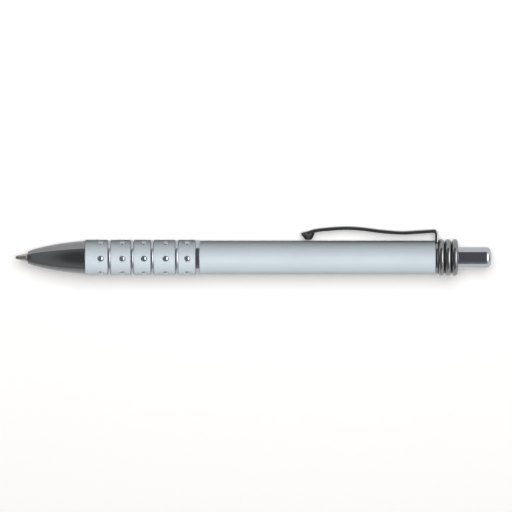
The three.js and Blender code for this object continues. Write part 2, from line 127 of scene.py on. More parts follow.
def pen_matrix():
    """Places the pen's own millimetres, with X along it and Z towards the clip, in the frame."""
    side = next(Vector(j["axis"]) for j in frame["joints"] if j["name"] == "clip_flex").normalized()
    along = Vector((1, 0, 0))
    axes = Matrix((along, side, along.cross(side))).transposed().to_4x4()
    low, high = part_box("barrel_tube")
    origin = (low + high) / 2
    origin.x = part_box("writing_ball")[0].x
    return Matrix.Translation(origin) @ axes @ Matrix.Scale(MM, 4)


PEN = pen_matrix()
TOWARDS_CLIP = PEN.to_3x3().col[2].normalized()
TOWARDS_VIEWER = -PEN.to_3x3().col[1].normalized()


@lru_cache(maxsize=None)
def ends(node):
    """Front and rear of a node along the pen, in millimetres behind the writing ball's front."""
    low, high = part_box(node)
    return (low.x - PEN.translation.x) / MM, (high.x - PEN.translation.x) / MM


def length(name, millimetres, about):
    return FloatProperty(name=name, description=about, default=millimetres * MM, min=0.0,
                         unit="LENGTH", precision=5)


def colour(name, shade, about):
    return FloatVectorProperty(name=name, description=about, default=shade, subtype="COLOR",
                               min=0.0, max=1.0)


class PenSizes(PropertyGroup):
    """Sizes of the pen's pieces"""
    nose_front: length("Nose opening", 1.79, "Radius of the nose at its front edge")
    nose_rear: length("Nose shoulder", 5.0, "Radius of the nose where it meets the grip")
    grip: length("Grip", 5.18, "Radius of the grip")
    groove_depth: length("Groove depth", 0.42, "Depth of the grooves that hold the grip's rings")
    ring_crown: length("Ring crown", 0.2, "How far the grip's rings are rounded over their width")
    stud: length("Stud", 0.85, "Radius of a grip stud")
    stud_proud: length("Stud height", 0.1, "How far a stud stands proud of the grip")
    stud_crown: length("Stud crown", 0.34, "Height of a stud's dome")
    joint: length("Joint ring", 5.22, "Radius of the ring between grip and barrel")
    barrel: length("Barrel", 4.94, "Radius of the barrel")
    barrel_wall: length("Barrel wall", 0.74, "Thickness of the barrel's wall")
    cap_ring: length("Cap ring", 5.48, "Radius of the rings behind the clip")
    cap_ring_section: length("Cap ring section", 0.95, "Half the width of a cap ring")
    cap_seat: length("Cap seat", 4.05, "Radius of the bush that the cap's rings sit on")
    button: length("Button", 3.1, "Radius of the push button")
    button_edge: length("Button edge", 1.5, "Rounding of the button's end")
    clip_sheet: length("Clip sheet", 0.95, "Thickness of the sheet that the clip is bent from")
    clip_width: length("Clip width", 4.4, "Width of the clip")
    clip_crown: length("Clip crown", 0.3, "How far the clip is arched across its width")
    clip_reach: length("Clip reach", 37.7, "From the clip's leg to the middle of its pad")
    thread_pitch: length("Thread pitch", 0.8, "Pitch of the screw joint's thread")
    wire: length("Spring wire", 0.22, "Radius of the return spring's wire")
    coil: length("Spring coil", 2.05, "Radius of the return spring's coils")
    curls: IntProperty(name="Spring curls", description="Turns of the return spring", default=12,
                       min=2, max=30)


class PenColours(PropertyGroup):
    """Colours of the pen's finishes"""
    satin: colour("Satin", (0.585, 0.61, 0.62), "Blasted and clear anodised grip and barrel")
    chrome: colour("Chrome", (0.39, 0.41, 0.45), "Bright rings, studs and push button")
    dark_chrome: colour("Dark chrome", (0.215, 0.22, 0.23), "Nose, clip and cap rings")
    brass: colour("Brass", (0.70, 0.53, 0.27), "Threaded bushes")
    nickel: colour("Nickel silver", (0.46, 0.43, 0.41), "Refill's nozzle and point")
    steel: colour("Steel", (0.64, 0.66, 0.68), "Refill tube and spring")
    carbide: colour("Carbide", (0.26, 0.26, 0.28), "Writing ball")
    black: colour("Black plastic", (0.035, 0.035, 0.04), "Cap bush, rotor and cam sleeve")
    white: colour("White plastic", (0.80, 0.79, 0.75), "Plunger and refill plug")
    ink: colour("Ink", (0.02, 0.035, 0.14), "Ink in the refill")
    grease: colour("Grease", (0.62, 0.58, 0.40), "Grease plug behind the ink")
    floor: colour("Floor", (0.93, 0.93, 0.925), "Plain pale floor")


def sizes(context):
    """The user's sizes in millimetres, with counts as they are."""
    given = context.scene.pen_sizes
    values = {name: getattr(given, name) for name in given.__annotations__}
    return SimpleNamespace(**{k: v if isinstance(v, int) else v / MM for k, v in values.items()})


# Meshes


def rounded(corners, closed=True):
    """Outline points (along, radius, edge) with each corner rounded by its third value."""
    points = []
    for i, corner in enumerate(corners):
        here = Vector(corner[:2])
        if (not closed and i in (0, len(corners) - 1)) or not corner[2]:
            points.append((here.x, here.y, 0.0))
            continue
        back = Vector(corners[i - 1][:2]) - here
        on = Vector(corners[(i + 1) % len(corners)][:2]) - here
        half = back.angle(on) / 2
        # A corner leaves room on each side for the next one, and a support edge beside it
        cut = min(corner[2] / tan(half), 0.4 * back.length, 0.4 * on.length)
        support = min(1.25 * cut + 0.01, 0.45 * back.length, 0.45 * on.length)
        back, on = back.normalized(), on.normalized()
        centre = here + (back + on).normalized() * cut / cos(half)
        first, last = here + back * cut - centre, here + on * cut - centre
        points.append((*(here + back * support), 0.0))
        for k in range(CORNER_STEPS + 1):
            points.append((*(centre + first.slerp(last, k / CORNER_STEPS) * first.length), 1.0))
        points.append((*(here + on * support), 0.0))
    return points


def arc(centre, radius, start, stop, steps):
    """Outline points along an arc, from one angle to the other."""
    turns = [start + (stop - start) * k / steps for k in range(steps + 1)]
    return [(centre[0] + radius * cos(t), centre[1] + radius * sin(t), 0.0)
            for t in turns]


def straight(start, stop, radius, steps):
    """Outline points along a straight side."""
    return [(start + (stop - start) * k / steps, radius, 0.0) for k in range(steps + 1)]


def smooth_line(knots, count):
    """Evenly spaced points of a smooth curve through the knots."""
    fine, parts = [], 24
    last = len(knots) - 1
    for i in range(last):
        a, b, c, d = (Vector(knots[min(max(i + k, 0), last)]) for k in (-1, 0, 1, 2))
        for j in range(parts):
            t = j / parts
            fine.append(b + t * ((c - a) / 2 + t * (a - 2.5 * b + 2 * c - d / 2
                                                    + t * (1.5 * (b - c) + (d - a) / 2))))
    fine.append(Vector(knots[-1]))
    gone = [0.0]
    for a, b in zip(fine, fine[1:]):
        gone.append(gone[-1] + (b - a).length)
    spaced, k = [], 0
    for i in range(count + 1):
        wanted = gone[-1] * i / count
        while k < len(gone) - 2 and gone[k + 1] < wanted:
            k += 1
        spaced.append(fine[k].lerp(fine[k + 1], (wanted - gone[k]) / (gone[k + 1] - gone[k])))
    return spaced


class Shape:
    """Points in the pen's millimetres, with faces and an edge mark for each point."""

    def __init__(self):
        self.points, self.faces, self.marks = [], [], []

    def add(self, point, mark=0.0):
        self.points.append(point)
        self.marks.append(mark)
        return len(self.points) - 1

    def grid(self, rows, closed_rows=False, closed_columns=True):
        """Joins rows of point numbers with four-sided faces."""
        pairs = list(zip(rows, rows[1:])) + ([(rows[-1], rows[0])] if closed_rows else [])
        for a, b in pairs:
            count = len(a) if closed_columns else len(a) - 1
            for j in range(count):
                k = (j + 1) % len(a)
                face = [a[j], a[k], b[k], b[j]]
                face = [p for n, p in enumerate(face) if p not in face[:n]]
                if len(face) > 2:
                    self.faces.append(face)

    def rings(self, outline, angles, place):
        """Rows of points round an axis, one row for each (level, radius, edge, ...) point."""
        rows = []
        for point in outline:
            around = angles if point[1] > TINY else angles[:1]
            row = [self.add(place(point, angle), point[2]) for angle in around]
            rows.append(row if len(row) > 1 else row * len(angles))
        return rows

    def turn(self, outline, columns=COLUMNS, start=0.0, sweep=TURN, closed=True, offset=None):
        """Turns an outline of (along, radius, edge) points about the pen's axis."""
        whole = sweep > TURN - TINY
        angles = [start + sweep * j / columns for j in range(columns if whole else columns + 1)]

        def place(point, angle):
            x, radius = point[:2]
            r = radius + (offset(x, angle, radius) if offset else 0.0)
            return x, -r * cos(angle), r * sin(angle)

        rows = self.rings(outline, angles, place)
        self.grid(rows, closed_rows=closed, closed_columns=whole)
        if not whole:
            self.faces.append([row[0] for row in rows])
            self.faces.append([row[-1] for row in rows])
        return self

    def sweep_tube(self, path, radius, sides=12):
        """A round wire along a path, with domed ends."""
        rows = []
        for i, point in enumerate(path):
            ahead = (path[min(i + 1, len(path) - 1)] - path[max(i - 1, 0)]).normalized()
            out = Vector((0, point.y, point.z)).normalized()
            across = ahead.cross(out).normalized()
            out = across.cross(ahead)
            rows.append([self.add(tuple(point + radius * (out * cos(TURN * j / sides)
                                                          + across * sin(TURN * j / sides))))
                         for j in range(sides)])
        self.grid(rows)
        for row, point, inner in ((rows[0], path[0], path[1]), (rows[-1], path[-1], path[-2])):
            tip = self.add(tuple(point + (point - inner).normalized() * radius * 0.3))
            self.faces.extend([row[j], row[(j + 1) % sides], tip] for j in range(sides))
        return self

    def mesh(self, name):
        made = bpy.data.meshes.new(name)
        made.from_pydata(self.points, [], self.faces)
        made.attributes.new("edge_mark", "FLOAT", "POINT").data.foreach_set("value", self.marks)
        work = bmesh.new()
        work.from_mesh(made)
        bmesh.ops.remove_doubles(work, verts=work.verts, dist=1e-4)
        bmesh.ops.recalc_face_normals(work, faces=work.faces)
        work.to_mesh(made)
        work.free()
        made.transform(PEN)
        made.shade_smooth()
        made.set_sharp_from_angle(angle=radians(50))
        return made


def show(name, mesh, slot, body, *nodes):
    """Links a finished mesh, gives it its finish and hides its nodes; it rides on a single named
    body, otherwise its place is baked in.
    """
    piece = bpy.data.objects.new(name, mesh)
    bpy.context.scene.collection.objects.link(piece)
    mesh.materials.append(bpy.data.materials[slot])
    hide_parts(*nodes)
    if isinstance(body, str):
        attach(piece, body)
    else:
        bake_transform(piece)


def turned(name, outline, slot, body, *nodes, **turning):
    show(name, Shape().turn(outline, **turning).mesh(name), slot, body, *nodes)


def combined(mesh, other, operation):
    """The mesh joined with, or cut by, another."""
    first = bpy.data.objects.new("first", mesh)
    second = bpy.data.objects.new("second", other)
    for piece in (first, second):
        bpy.context.scene.collection.objects.link(piece)
    step = first.modifiers.new("step", "BOOLEAN")
    step.object, step.operation, step.solver = second, operation, "EXACT"
    bpy.context.view_layer.update()
    shaped = first.evaluated_get(bpy.context.evaluated_depsgraph_get())
    made = bpy.data.meshes.new_from_object(shaped)
    for piece in (first, second):
        bpy.data.objects.remove(piece)
    return made


# Shader nodes


def wire(tree, kind, sockets=None, **settings):
    """Adds a shader node, sets its values and links the sockets that it is given."""
    made = tree.nodes.new("ShaderNode" + kind)
    for key, value in settings.items():
        setattr(made, key, value)
    for key, value in (sockets or {}).items():
        if isinstance(value, bpy.types.NodeSocket):
            tree.links.new(value, made.inputs[key])
        else:
            made.inputs[key].default_value = value
    return made


def maths(tree, operation, first, *others):
    """Reckons with a value alone, or with each of the others in turn."""
    for other in others or (None,):
        sockets = {0: first} if other is None else {0: first, 1: other}
        first = wire(tree, "Math", sockets, operation=operation).outputs[0]
    return first


def vectors(tree, operation, *values, **sockets):
    sockets = {**dict(enumerate(values)), **sockets}
    made = wire(tree, "VectorMath", sockets, operation=operation)
    return made.outputs["Value" if operation in ("LENGTH", "DOT_PRODUCT") else "Vector"]


def noise(tree, place, scale, detail, roughness=0.5, distortion=0.0):
    return wire(tree, "TexNoise", {"Vector": place, "Scale": scale, "Detail": detail,
                                   "Roughness": roughness, "Distortion": distortion}).outputs[0]


def ranged(tree, value, low, high, to_low=0.0, to_high=1.0):
    return wire(tree, "MapRange", {"Value": value, "From Min": low, "From Max": high,
                                   "To Min": to_low, "To Max": to_high}).outputs["Result"]


def mixed(tree, share, first, second):
    return wire(tree, "Mix", {0: share, 6: first, 7: second}, data_type="RGBA").outputs[2]


def effect(name, inputs, outputs):
    """A shared shader group: its tree, what it is given, and how it gives a value out."""
    tree = bpy.data.node_groups.new(name, "ShaderNodeTree")
    for label, default in inputs.items():
        made = tree.interface.new_socket(label, in_out="INPUT", socket_type="NodeSocketFloat")
        made.default_value = default
    for label in outputs:
        tree.interface.new_socket(label, in_out="OUTPUT", socket_type="NodeSocketFloat")
    given, result = tree.nodes.new("NodeGroupInput"), tree.nodes.new("NodeGroupOutput")

    def give(label, value):
        tree.links.new(value, result.inputs[label])

    return tree, given.outputs, give


def round_place(tree):
    """Place along the pen, distance from its axis, direction round it, and the whole place."""
    place = wire(tree, "TexCoord").outputs["Object"]
    local = vectors(tree, "SUBTRACT", place, tuple(PEN.translation))
    local = vectors(tree, "SCALE", local, Scale=1 / MM)
    along, across, above = wire(tree, "SeparateXYZ", {0: local}).outputs
    flat = wire(tree, "CombineXYZ", {1: across, 2: above}).outputs[0]
    return along, vectors(tree, "LENGTH", flat), vectors(tree, "NORMALIZE", flat), local


def make_blast_grain():
    """Even fine pits of a blasted surface, and slow changes of tone."""
    tree, given, give = effect("blast_grain", {"Grain": 6.0, "Mottle": 0.35}, ["Pits", "Tone"])
    place = round_place(tree)[3]
    give("Pits", noise(tree, place, given["Grain"], 4.0, 0.65))
    tone = noise(tree, place, given["Mottle"], 5.0, 0.6)
    give("Tone", ranged(tree, tone, 0.3, 0.7))


def make_lines(name, values, on_ends, detail, roughness):
    """Fine lines, by how often they change along the pen, or on flat ends too, and round it."""
    tree, given, give = effect(name, values, ["Lines"])
    along, radius, heading, _ = round_place(tree)
    if on_ends:
        along = maths(tree, "ADD", along, radius)
    step, turn = (given[label] for label in values)
    far = wire(tree, "CombineXYZ", {0: maths(tree, "MULTIPLY", along, step)}).outputs[0]
    place = vectors(tree, "ADD", far, vectors(tree, "SCALE", heading, Scale=turn))
    give("Lines", noise(tree, place, 1.0, detail, roughness))


def make_handling():
    """What use leaves: smudges, hair scratches and bright worn edges."""
    tree, given, give = effect("handling", {"Smudge size": 0.12, "Scratches": 0.5},
                               ["Smudge", "Scratch", "Worn edge"])
    place = round_place(tree)[3]
    cloud = noise(tree, place, given["Smudge size"], 6.0, 0.62, 0.6)
    give("Smudge", ranged(tree, cloud, 0.42, 0.68))
    hairs = []
    for turn, stretch in (((0.3, 0.2, 0.9), (0.12, 3.0, 3.0)),
                          ((1.1, 0.5, -0.6), (0.16, 3.6, 3.6))):
        slanted = wire(tree, "Mapping", {"Vector": place, "Rotation": turn, "Scale": stretch})
        hair = maths(tree, "SUBTRACT", noise(tree, slanted.outputs[0], 1.0, 1.0, 0.4), 0.5)
        hairs.append(ranged(tree, maths(tree, "ABSOLUTE", hair), 0.0, 0.012, 1.0, 0.0))
    rare = ranged(tree, noise(tree, place, 0.5, 2.0), 0.52, 0.62)
    hair = maths(tree, "MAXIMUM", *hairs)
    give("Scratch", maths(tree, "MULTIPLY", hair, rare, given["Scratches"]))
    edge = wire(tree, "Attribute", attribute_name="edge_mark").outputs["Fac"]
    chips = ranged(tree, noise(tree, place, 1.4, 4.0), 0.35, 0.6, 0.35, 1.0)
    give("Worn edge", maths(tree, "MULTIPLY", edge, chips))


class Finish:
    """One material in the making, round a Principled shader."""

    def __init__(self, name, sockets):
        self.material = bpy.data.materials.new(name)
        self.material.use_nodes = True
        self.tree = self.material.node_tree
        self.tree.nodes.clear()
        self.shader = wire(self.tree, "BsdfPrincipled", sockets)
        wire(self.tree, "OutputMaterial", {0: self.shader.outputs[0]})

    def use(self, group, **values):
        """Places a shared effect and gives what it puts out."""
        values = {label.replace("_", " "): value for label, value in values.items()}
        return wire(self.tree, "Group", values, node_tree=bpy.data.node_groups[group]).outputs

    def feed(self, socket, value):
        self.tree.links.new(value, self.shader.inputs[socket])

    def shades(self, base, *steps):
        """Base colour, changed by (mask, strength, factor) steps that brighten or darken it."""
        shade = (*base, 1.0)
        for mask, strength, factor in steps:
            other = (*(min(c * factor, 1.0) for c in base), 1.0)
            shade = mixed(self.tree, maths(self.tree, "MULTIPLY", mask, strength), shade, other)
        self.feed("Base Color", shade)

    def roughness(self, value, *steps):
        for mask, amount in steps:
            value = maths(self.tree, "ADD", value, maths(self.tree, "MULTIPLY", mask, amount))
        self.feed("Roughness", value)

    def relief(self, *steps):
        """Bumps of (height, depth in millimetres), laid one on another."""
        below = {}
        for height, depth in steps:
            bump = wire(self.tree, "Bump", {"Height": height, "Distance": depth * MM,
                                            "Strength": 1.0, **below})
            below = {"Normal": bump.outputs[0]}
        self.feed("Normal", below["Normal"])


def satin_finish(name, shade):
    made = Finish(name, {"Metallic": 0.1, "Specular IOR Level": 0.12})
    grain = made.use("blast_grain", Grain=7.0, Mottle=0.12)
    lines = made.use("drawn_lines", Around=26.0, Length=0.05)["Lines"]
    used = made.use("handling", Smudge_size=0.1, Scratches=0.5)
    made.shades(shade, (grain["Tone"], 0.5, 1.05), (lines, 0.25, 0.93),
                (used["Smudge"], 0.25, 0.93), (used["Scratch"], 0.5, 1.2),
                (used["Worn edge"], 0.6, 1.22))
    made.roughness(0.62, (grain["Tone"], 0.04), (used["Smudge"], 0.05), (used["Scratch"], -0.12),
                   (used["Worn edge"], -0.2))
    made.relief((grain["Pits"], 0.006), (lines, 0.0015))


def polished_finish(name, shade, roughness, lines):
    made = Finish(name, {"Metallic": 1.0})
    polish = made.use("lathe_lines", Lines=lines, Waver=0.3)["Lines"]
    used = made.use("handling", Smudge_size=0.16, Scratches=0.7)
    made.shades(shade, (used["Smudge"], 0.4, 0.9), (polish, 0.2, 1.08),
                (used["Scratch"], 0.5, 1.3), (used["Worn edge"], 0.45, 1.25))
    made.roughness(roughness, (used["Smudge"], 0.06), (polish, 0.03), (used["Scratch"], 0.12))
    made.relief((polish, 0.0006), (used["Scratch"], 0.001))


def turned_finish(name, shade, roughness):
    made = Finish(name, {"Metallic": 1.0})
    cut = made.use("lathe_lines", Lines=14.0, Waver=0.15)["Lines"]
    used = made.use("handling", Smudge_size=0.3, Scratches=0.5)
    made.shades(shade, (cut, 0.5, 0.8), (used["Smudge"], 0.4, 0.78), (used["Worn edge"], 0.6, 1.3))
    made.roughness(roughness, (cut, 0.12), (used["Smudge"], 0.12))
    made.relief((cut, 0.006))


def drawn_finish(name, shade, roughness):
    made = Finish(name, {"Metallic": 1.0})
    lines = made.use("drawn_lines", Around=60.0, Length=0.1)["Lines"]
    used = made.use("handling", Smudge_size=0.15, Scratches=0.8)
    made.shades(shade, (lines, 0.6, 0.84), (used["Smudge"], 0.4, 0.85),
                (used["Worn edge"], 0.5, 1.25))
    made.roughness(roughness, (lines, 0.14), (used["Smudge"], 0.1), (used["Scratch"], 0.1))
    made.relief((lines, 0.002))


def moulded_finish(name, shade, roughness, light=False):
    softness = {"Subsurface Weight": 0.12, "Subsurface Scale": 0.002} if light else {}
    toned, worn = (1.12, 1.1) if light else (1.5, 2.2)
    made = Finish(name, {"Metallic": 0.0, "IOR": 1.49, **softness})
    grain = made.use("blast_grain", Grain=4.0, Mottle=0.5)
    used = made.use("handling", Smudge_size=0.25, Scratches=0.6)
    made.shades(shade, (grain["Tone"], 0.6, toned), (used["Worn edge"], 0.5, worn))
    made.roughness(roughness, (grain["Pits"], 0.12), (used["Smudge"], 0.1))
    made.relief((grain["Pits"], 0.008))


def fluid_finish(name, shade, roughness):
    made = Finish(name, {"Metallic": 0.0, "IOR": 1.45, "Coat Weight": 0.6})
    grain = made.use("blast_grain", Grain=0.9, Mottle=0.3)
    made.shades(shade, (grain["Tone"], 0.8, 1.6), (grain["Pits"], 0.3, 0.7))
    made.roughness(roughness, (grain["Pits"], 0.1))
    made.relief((grain["Pits"], 0.03))


# Operators


class PEN_OT_finishes(Operator):
    """Makes the shared effects and the pen's finishes"""
    bl_idname = "pen.finishes"
    bl_label = "Finishes"

    def execute(self, context):
        shade = context.scene.pen_colours
        make_blast_grain()
        make_lines("lathe_lines", {"Lines": 5.0, "Waver": 0.4}, True, 3.0, 0.7)
        make_lines("drawn_lines", {"Length": 0.12, "Around": 40.0}, False, 4.0, 0.6)
        make_handling()
        for material in list(bpy.data.materials):
            material.name = "packed_" + material.name
        satin_finish("satin_metal", shade.satin)
        polished_finish("bright_chrome", shade.chrome, 0.07, lines=6.0)
        polished_finish("dark_chrome", shade.dark_chrome, 0.09, lines=5.0)
        turned_finish("brass", shade.brass, 0.24)
        turned_finish("nickel_silver", shade.nickel, 0.2)
        turned_finish("carbide", shade.carbide, 0.2)
        drawn_finish("refill_steel", shade.steel, 0.2)
        drawn_finish("spring_steel", shade.steel, 0.24)
        moulded_finish("black_plastic", shade.black, 0.42)
        moulded_finish("white_plastic", shade.white, 0.4, light=True)
        fluid_finish("ink", shade.ink, 0.2)
        fluid_finish("grease", shade.grease, 0.35)
        return {"FINISHED"}


class PEN_OT_point(Operator):
    """Turns the refill's point: ball, socket and nozzle"""
    bl_idname = "pen.point"
    bl_label = "Refill point"

    def execute(self, context):
        front, rear = ends("writing_ball")
        radius = (rear - front) / 2
        turned("ball", arc((front + radius, 0.0), radius, pi, 0.0, 24), "carbide", "ball",
               "writing_ball", columns=48, closed=False)
        lip, root = ends("tip_socket")
        front, rear = ends("refill_nozzle")
        shoulder, seat, tube = front - BUTT, root + BUTT, ends("refill_tube")[0]
        turned("socket", rounded([
            (lip, 0.455, 0.03), (lip, 0.6, 0.04), (lip + 0.55, 0.655, 0.02),
            (lip + 0.75, 0.72, 0.02), (shoulder - 0.25, 0.995, 0.03), (shoulder, 1.0, 0.05),
            (shoulder, 0.75, 0), (root, 0.75, 0.1), (root, 0.25, 0.02), (1.35, 0.25, 0.02),
            (1.05, 0.55, 0.02), (0.5, 0.55, 0.02),
        ]), "nickel_silver", "refill", "tip_socket")
        turned("nozzle", rounded([
            (front, 0.78, 0.03), (front, 1.1, 0.05), (front + 0.2, NOZZLE, 0.1),
            (front + 0.45, NOZZLE, 0.1), (front + 0.95, 1.06, 0.1), (front + 1.3, 1.06, 0.05),
            (front + 1.4, NOZZLE, 0.05), (12.2, NOZZLE, 0.05), (12.5, 1.14, 0.03),
            (12.9, 1.14, 0.03), (13.2, NOZZLE, 0.05), (tube - 1.2, NOZZLE, 0.12),
            (tube - 1.2, 2.5, 0.08), (tube - BUTT, REFILL, 0.12), (tube - BUTT, REFILL_BORE, 0.02),
            (rear, REFILL_BORE, 0.1), (rear, 0.55, 0.05), (seat, 0.55, 0.02), (seat, 0.78, 0.02),
        ]), "nickel_silver", "refill", "refill_nozzle")
        return {"FINISHED"}


class PEN_OT_refill(Operator):
    """Draws the refill's tube, with its crimps, and its end plug"""
    bl_idname = "pen.refill"
    bl_label = "Refill tube"

    def execute(self, context):
        front, rear = ends("refill_tube")
        crimps = []
        for place in (front + 2.6, front + 3.6, rear - 1.4):
            crimps += [(place - 0.3, REFILL, 0.1), (place, 2.87, 0.15), (place + 0.3, REFILL, 0.1)]
        turned("refill_body", rounded([
            (front, 2.5, 0.03), (front, REFILL, 0.12), *crimps, (rear, REFILL, 0.1),
            (rear, 2.5, 0.03),
        ]), "refill_steel", "refill", "refill_tube")
        front, end = ends("refill_end_plug")
        turned("refill_plug", rounded([
            (front, 0.4, 0.06), (front, REFILL_BORE, 0.2), (rear + BUTT, REFILL_BORE, 0.02),
            (rear + BUTT, 2.6, 0.05), (end, 2.6, 0.25), (end, 0.4, 0.1),
        ]), "white_plastic", "refill", "refill_end_plug")
        return {"FINISHED"}


class PEN_OT_spring(Operator):
    """Winds the return spring, which closes up between nose and refill"""
    bl_idname = "pen.spring"
    bl_label = "Return spring"

    def execute(self, context):
        s = sizes(context)
        front, rear = ends("return_spring")
        front, rear = front + s.wire, rear - s.wire
        steps = s.curls * 32
        path = []
        for i in range(steps + 1):
            share = i / steps
            turn = share * s.curls * TURN
            path.append(Vector((front + (rear - front) * share, s.coil * cos(turn),
                                s.coil * sin(turn))))
        show("spring", Shape().sweep_tube(path, s.wire).mesh("spring"), "spring_steel",
             ("barrel", "refill", (front, 0, 0), (rear, 0, 0)), "return_spring")
        return {"FINISHED"}


class PEN_OT_nose(Operator):
    """Turns the polished nose"""
    bl_idname = "pen.nose"
    bl_label = "Nose"

    def execute(self, context):
        s = sizes(context)
        front, spigot = ends("nose_cone")
        rear = ends("grip_sleeve")[0] - BUTT
        opening, bore, step = 1.3, 2.65, front + 9
        grown = s.nose_rear - s.nose_front
        knots = [(front + share * (rear - front), s.nose_front + rise * grown) for share, rise in (
            (0, 0), (0.106, 0.212), (0.315, 0.483), (0.523, 0.698), (0.73, 0.853), (1, 1))]
        side = [tuple(p) for p in smooth_line(knots, 48)]
        lip = rounded([(front + 0.01, opening), (front, s.nose_front, 0.09), side[2]], closed=False)
        outline = lip[:-1] + [(*p, 0.0) for p in side[2:-1]]
        outline += rounded([side[-2], side[-1] + (0.06,), (rear, SPIGOT)], closed=False)[1:-1]
        outline += rounded([(rear, 4.5), (rear, SPIGOT, 0.02), (spigot, SPIGOT, 0.2),
                            (spigot, bore, 0.05), (step, bore, 0.05), (step, opening, 0.05),
                            (front + 0.01, opening)], closed=False)[:-1]
        turned("nose", outline, "dark_chrome", "front", "nose_cone")
        return {"FINISHED"}


STUD_ROWS, STUDS_AROUND = 5, 6
FIRST_STUD_ROW, STUD_PITCH = 4.54, 6.36
STUD_TURN = radians(-4)


def stud_place(row):
    return ends("grip_sleeve")[0] + FIRST_STUD_ROW + row * STUD_PITCH


def pocketed_band(shape, middle, half, radius, hole):
    """A band of the grip round one row of studs, with a chamfered pocket for each."""
    per_place, across = COLUMNS // STUDS_AROUND, 8
    step = TURN / COLUMNS * radius
    width = per_place / 2 * step
    rim = [(half, -width + step * i) for i in range(per_place)]
    rim += [(half - 2 * half * i / across, width) for i in range(across)]
    rim += [(-x, -aside) for x, aside in rim]
    wall = [(hole + 0.09, 0.0, 0.0), (hole + 0.05, 0.005, 0.6), (hole + 0.015, 0.025, 1.0),
            (hole, 0.07, 0.6), (hole, 0.12, 0.0), (hole, 0.6, 0.0)]
    for place in range(STUDS_AROUND):
        angle = STUD_TURN + place * TURN / STUDS_AROUND
        circles = [[Vector(p).normalized() * reach for p in rim] for reach, _, _ in wall]
        levels = [(list(map(Vector, rim)), 0.0, 0.0)]
        for share in (0.22, 0.45, 0.68, 0.87):
            levels.append(([a.lerp(b, share) for a, b in zip(levels[0][0], circles[0])], 0.0, 0.0))
        levels += [(circle, sunk, mark) for circle, (_, sunk, mark) in zip(circles, wall)]
        rows = []
        for points, sunk, mark in levels:
            row = []
            for x, aside in points:
                a, r = angle + aside / radius, radius - sunk
                row.append(shape.add((middle + x, -r * cos(a), r * sin(a)), mark))
            rows.append(row)
        shape.grid(rows)
        shape.faces.append(rows[-1])


class PEN_OT_grip(Operator):
    """Turns the satin grip, with its ring grooves and a pocket for each stud"""
    bl_idname = "pen.grip"
    bl_label = "Grip"

    def execute(self, context):
        s = sizes(context)
        front, rear = ends("grip_sleeve")
        grooves = [ends(f"grip_ring_{i}") for i in range(1, 5)]
        half, floor = 1.6, s.grip - s.groove_depth
        shape = Shape()
        bands = [(stud_place(row) - half, stud_place(row) + half) for row in range(STUD_ROWS)]
        starts = [front] + [b for _, b in bands]
        stops = [a for a, _ in bands] + [rear]
        for k, (a, b) in enumerate(zip(starts, stops)):
            line = [(a, s.grip, 0)]
            for low, high in grooves:
                if a < low and high < b:
                    line += [(low - FIT, s.grip, 0.05), (low - FIT, floor, 0.03),
                             (high + FIT, floor, 0.03), (high + FIT, s.grip, 0.05)]
            line.append((b, s.grip, 0))
            if k == 0:
                line = [(front, GRIP_BORE, 0), (front, s.grip, 0.09)] + line[1:]
            if k == len(starts) - 1:
                line = line[:-1] + [(rear, s.grip, 0.09), (rear, GRIP_BORE, 0),
                                    (front, GRIP_BORE, 0)]
            shape.turn(rounded(line, closed=False), start=STUD_TURN, closed=False)
        for row in range(STUD_ROWS):
            pocketed_band(shape, stud_place(row), half, s.grip, s.stud + FIT)
        show("grip", shape.mesh("grip"), "satin_metal", "front", "grip_sleeve")
        return {"FINISHED"}


class PEN_OT_grip_rings(Operator):
    """Rolls the four split rings of the grip"""
    bl_idname = "pen.grip_rings"
    bl_label = "Grip rings"

    def execute(self, context):
        s = sizes(context)
        gap, quarter = 0.4 / s.grip, pi / 2
        inner = s.grip - s.groove_depth + FIT
        for i in range(1, 5):
            front, rear = ends(f"grip_ring_{i}")
            middle, half = (front + rear) / 2, (rear - front) / 2
            bend = (half ** 2 + s.ring_crown ** 2) / (2 * s.ring_crown)
            span = asin(half / bend)
            crown = arc((middle, s.grip - bend), bend, quarter + span, quarter - span, 16)
            turned(f"grip_band_{i}", [(front, inner, 0.0), *crown, (rear, inner, 0.0)],
                   "bright_chrome", "front", f"grip_ring_{i}", start=gap / 2 - quarter,
                   sweep=TURN - gap)
        return {"FINISHED"}


class PEN_OT_studs(Operator):
    """Sets the thirty domed studs into the grip"""
    bl_idname = "pen.studs"
    bl_label = "Studs"

    def execute(self, context):
        s = sizes(context)
        top, foot = s.grip + s.stud_proud, s.grip - 0.56
        bend = (s.stud ** 2 + s.stud_crown ** 2) / (2 * s.stud_crown)
        profile = [(foot, 0.0, 0.0), (foot, s.stud, 0.0), (top - s.stud_crown - 0.02, s.stud, 0.0)]
        profile += arc((top - bend, 0.0), bend, asin(s.stud / bend), 0.0, 12)
        angles = [TURN * j / 32 for j in range(32)]
        for row in range(STUD_ROWS):
            for place in range(STUDS_AROUND):
                turn = STUD_TURN + place * TURN / STUDS_AROUND
                out = Vector((0, -cos(turn), sin(turn)))
                side = Vector((0, sin(turn), cos(turn)))
                shape = Shape()
                shape.grid(shape.rings(profile, angles, lambda point, angle: tuple(
                    Vector((stud_place(row) + point[1] * cos(angle), 0, 0))
                    + out * point[0] + side * point[1] * sin(angle))))
                name = f"{row + 1}_{place + 1}"
                show(f"stud_{name}", shape.mesh(f"stud_{name}"), "bright_chrome", "front",
                     f"grip_stud_{name}")
        return {"FINISHED"}


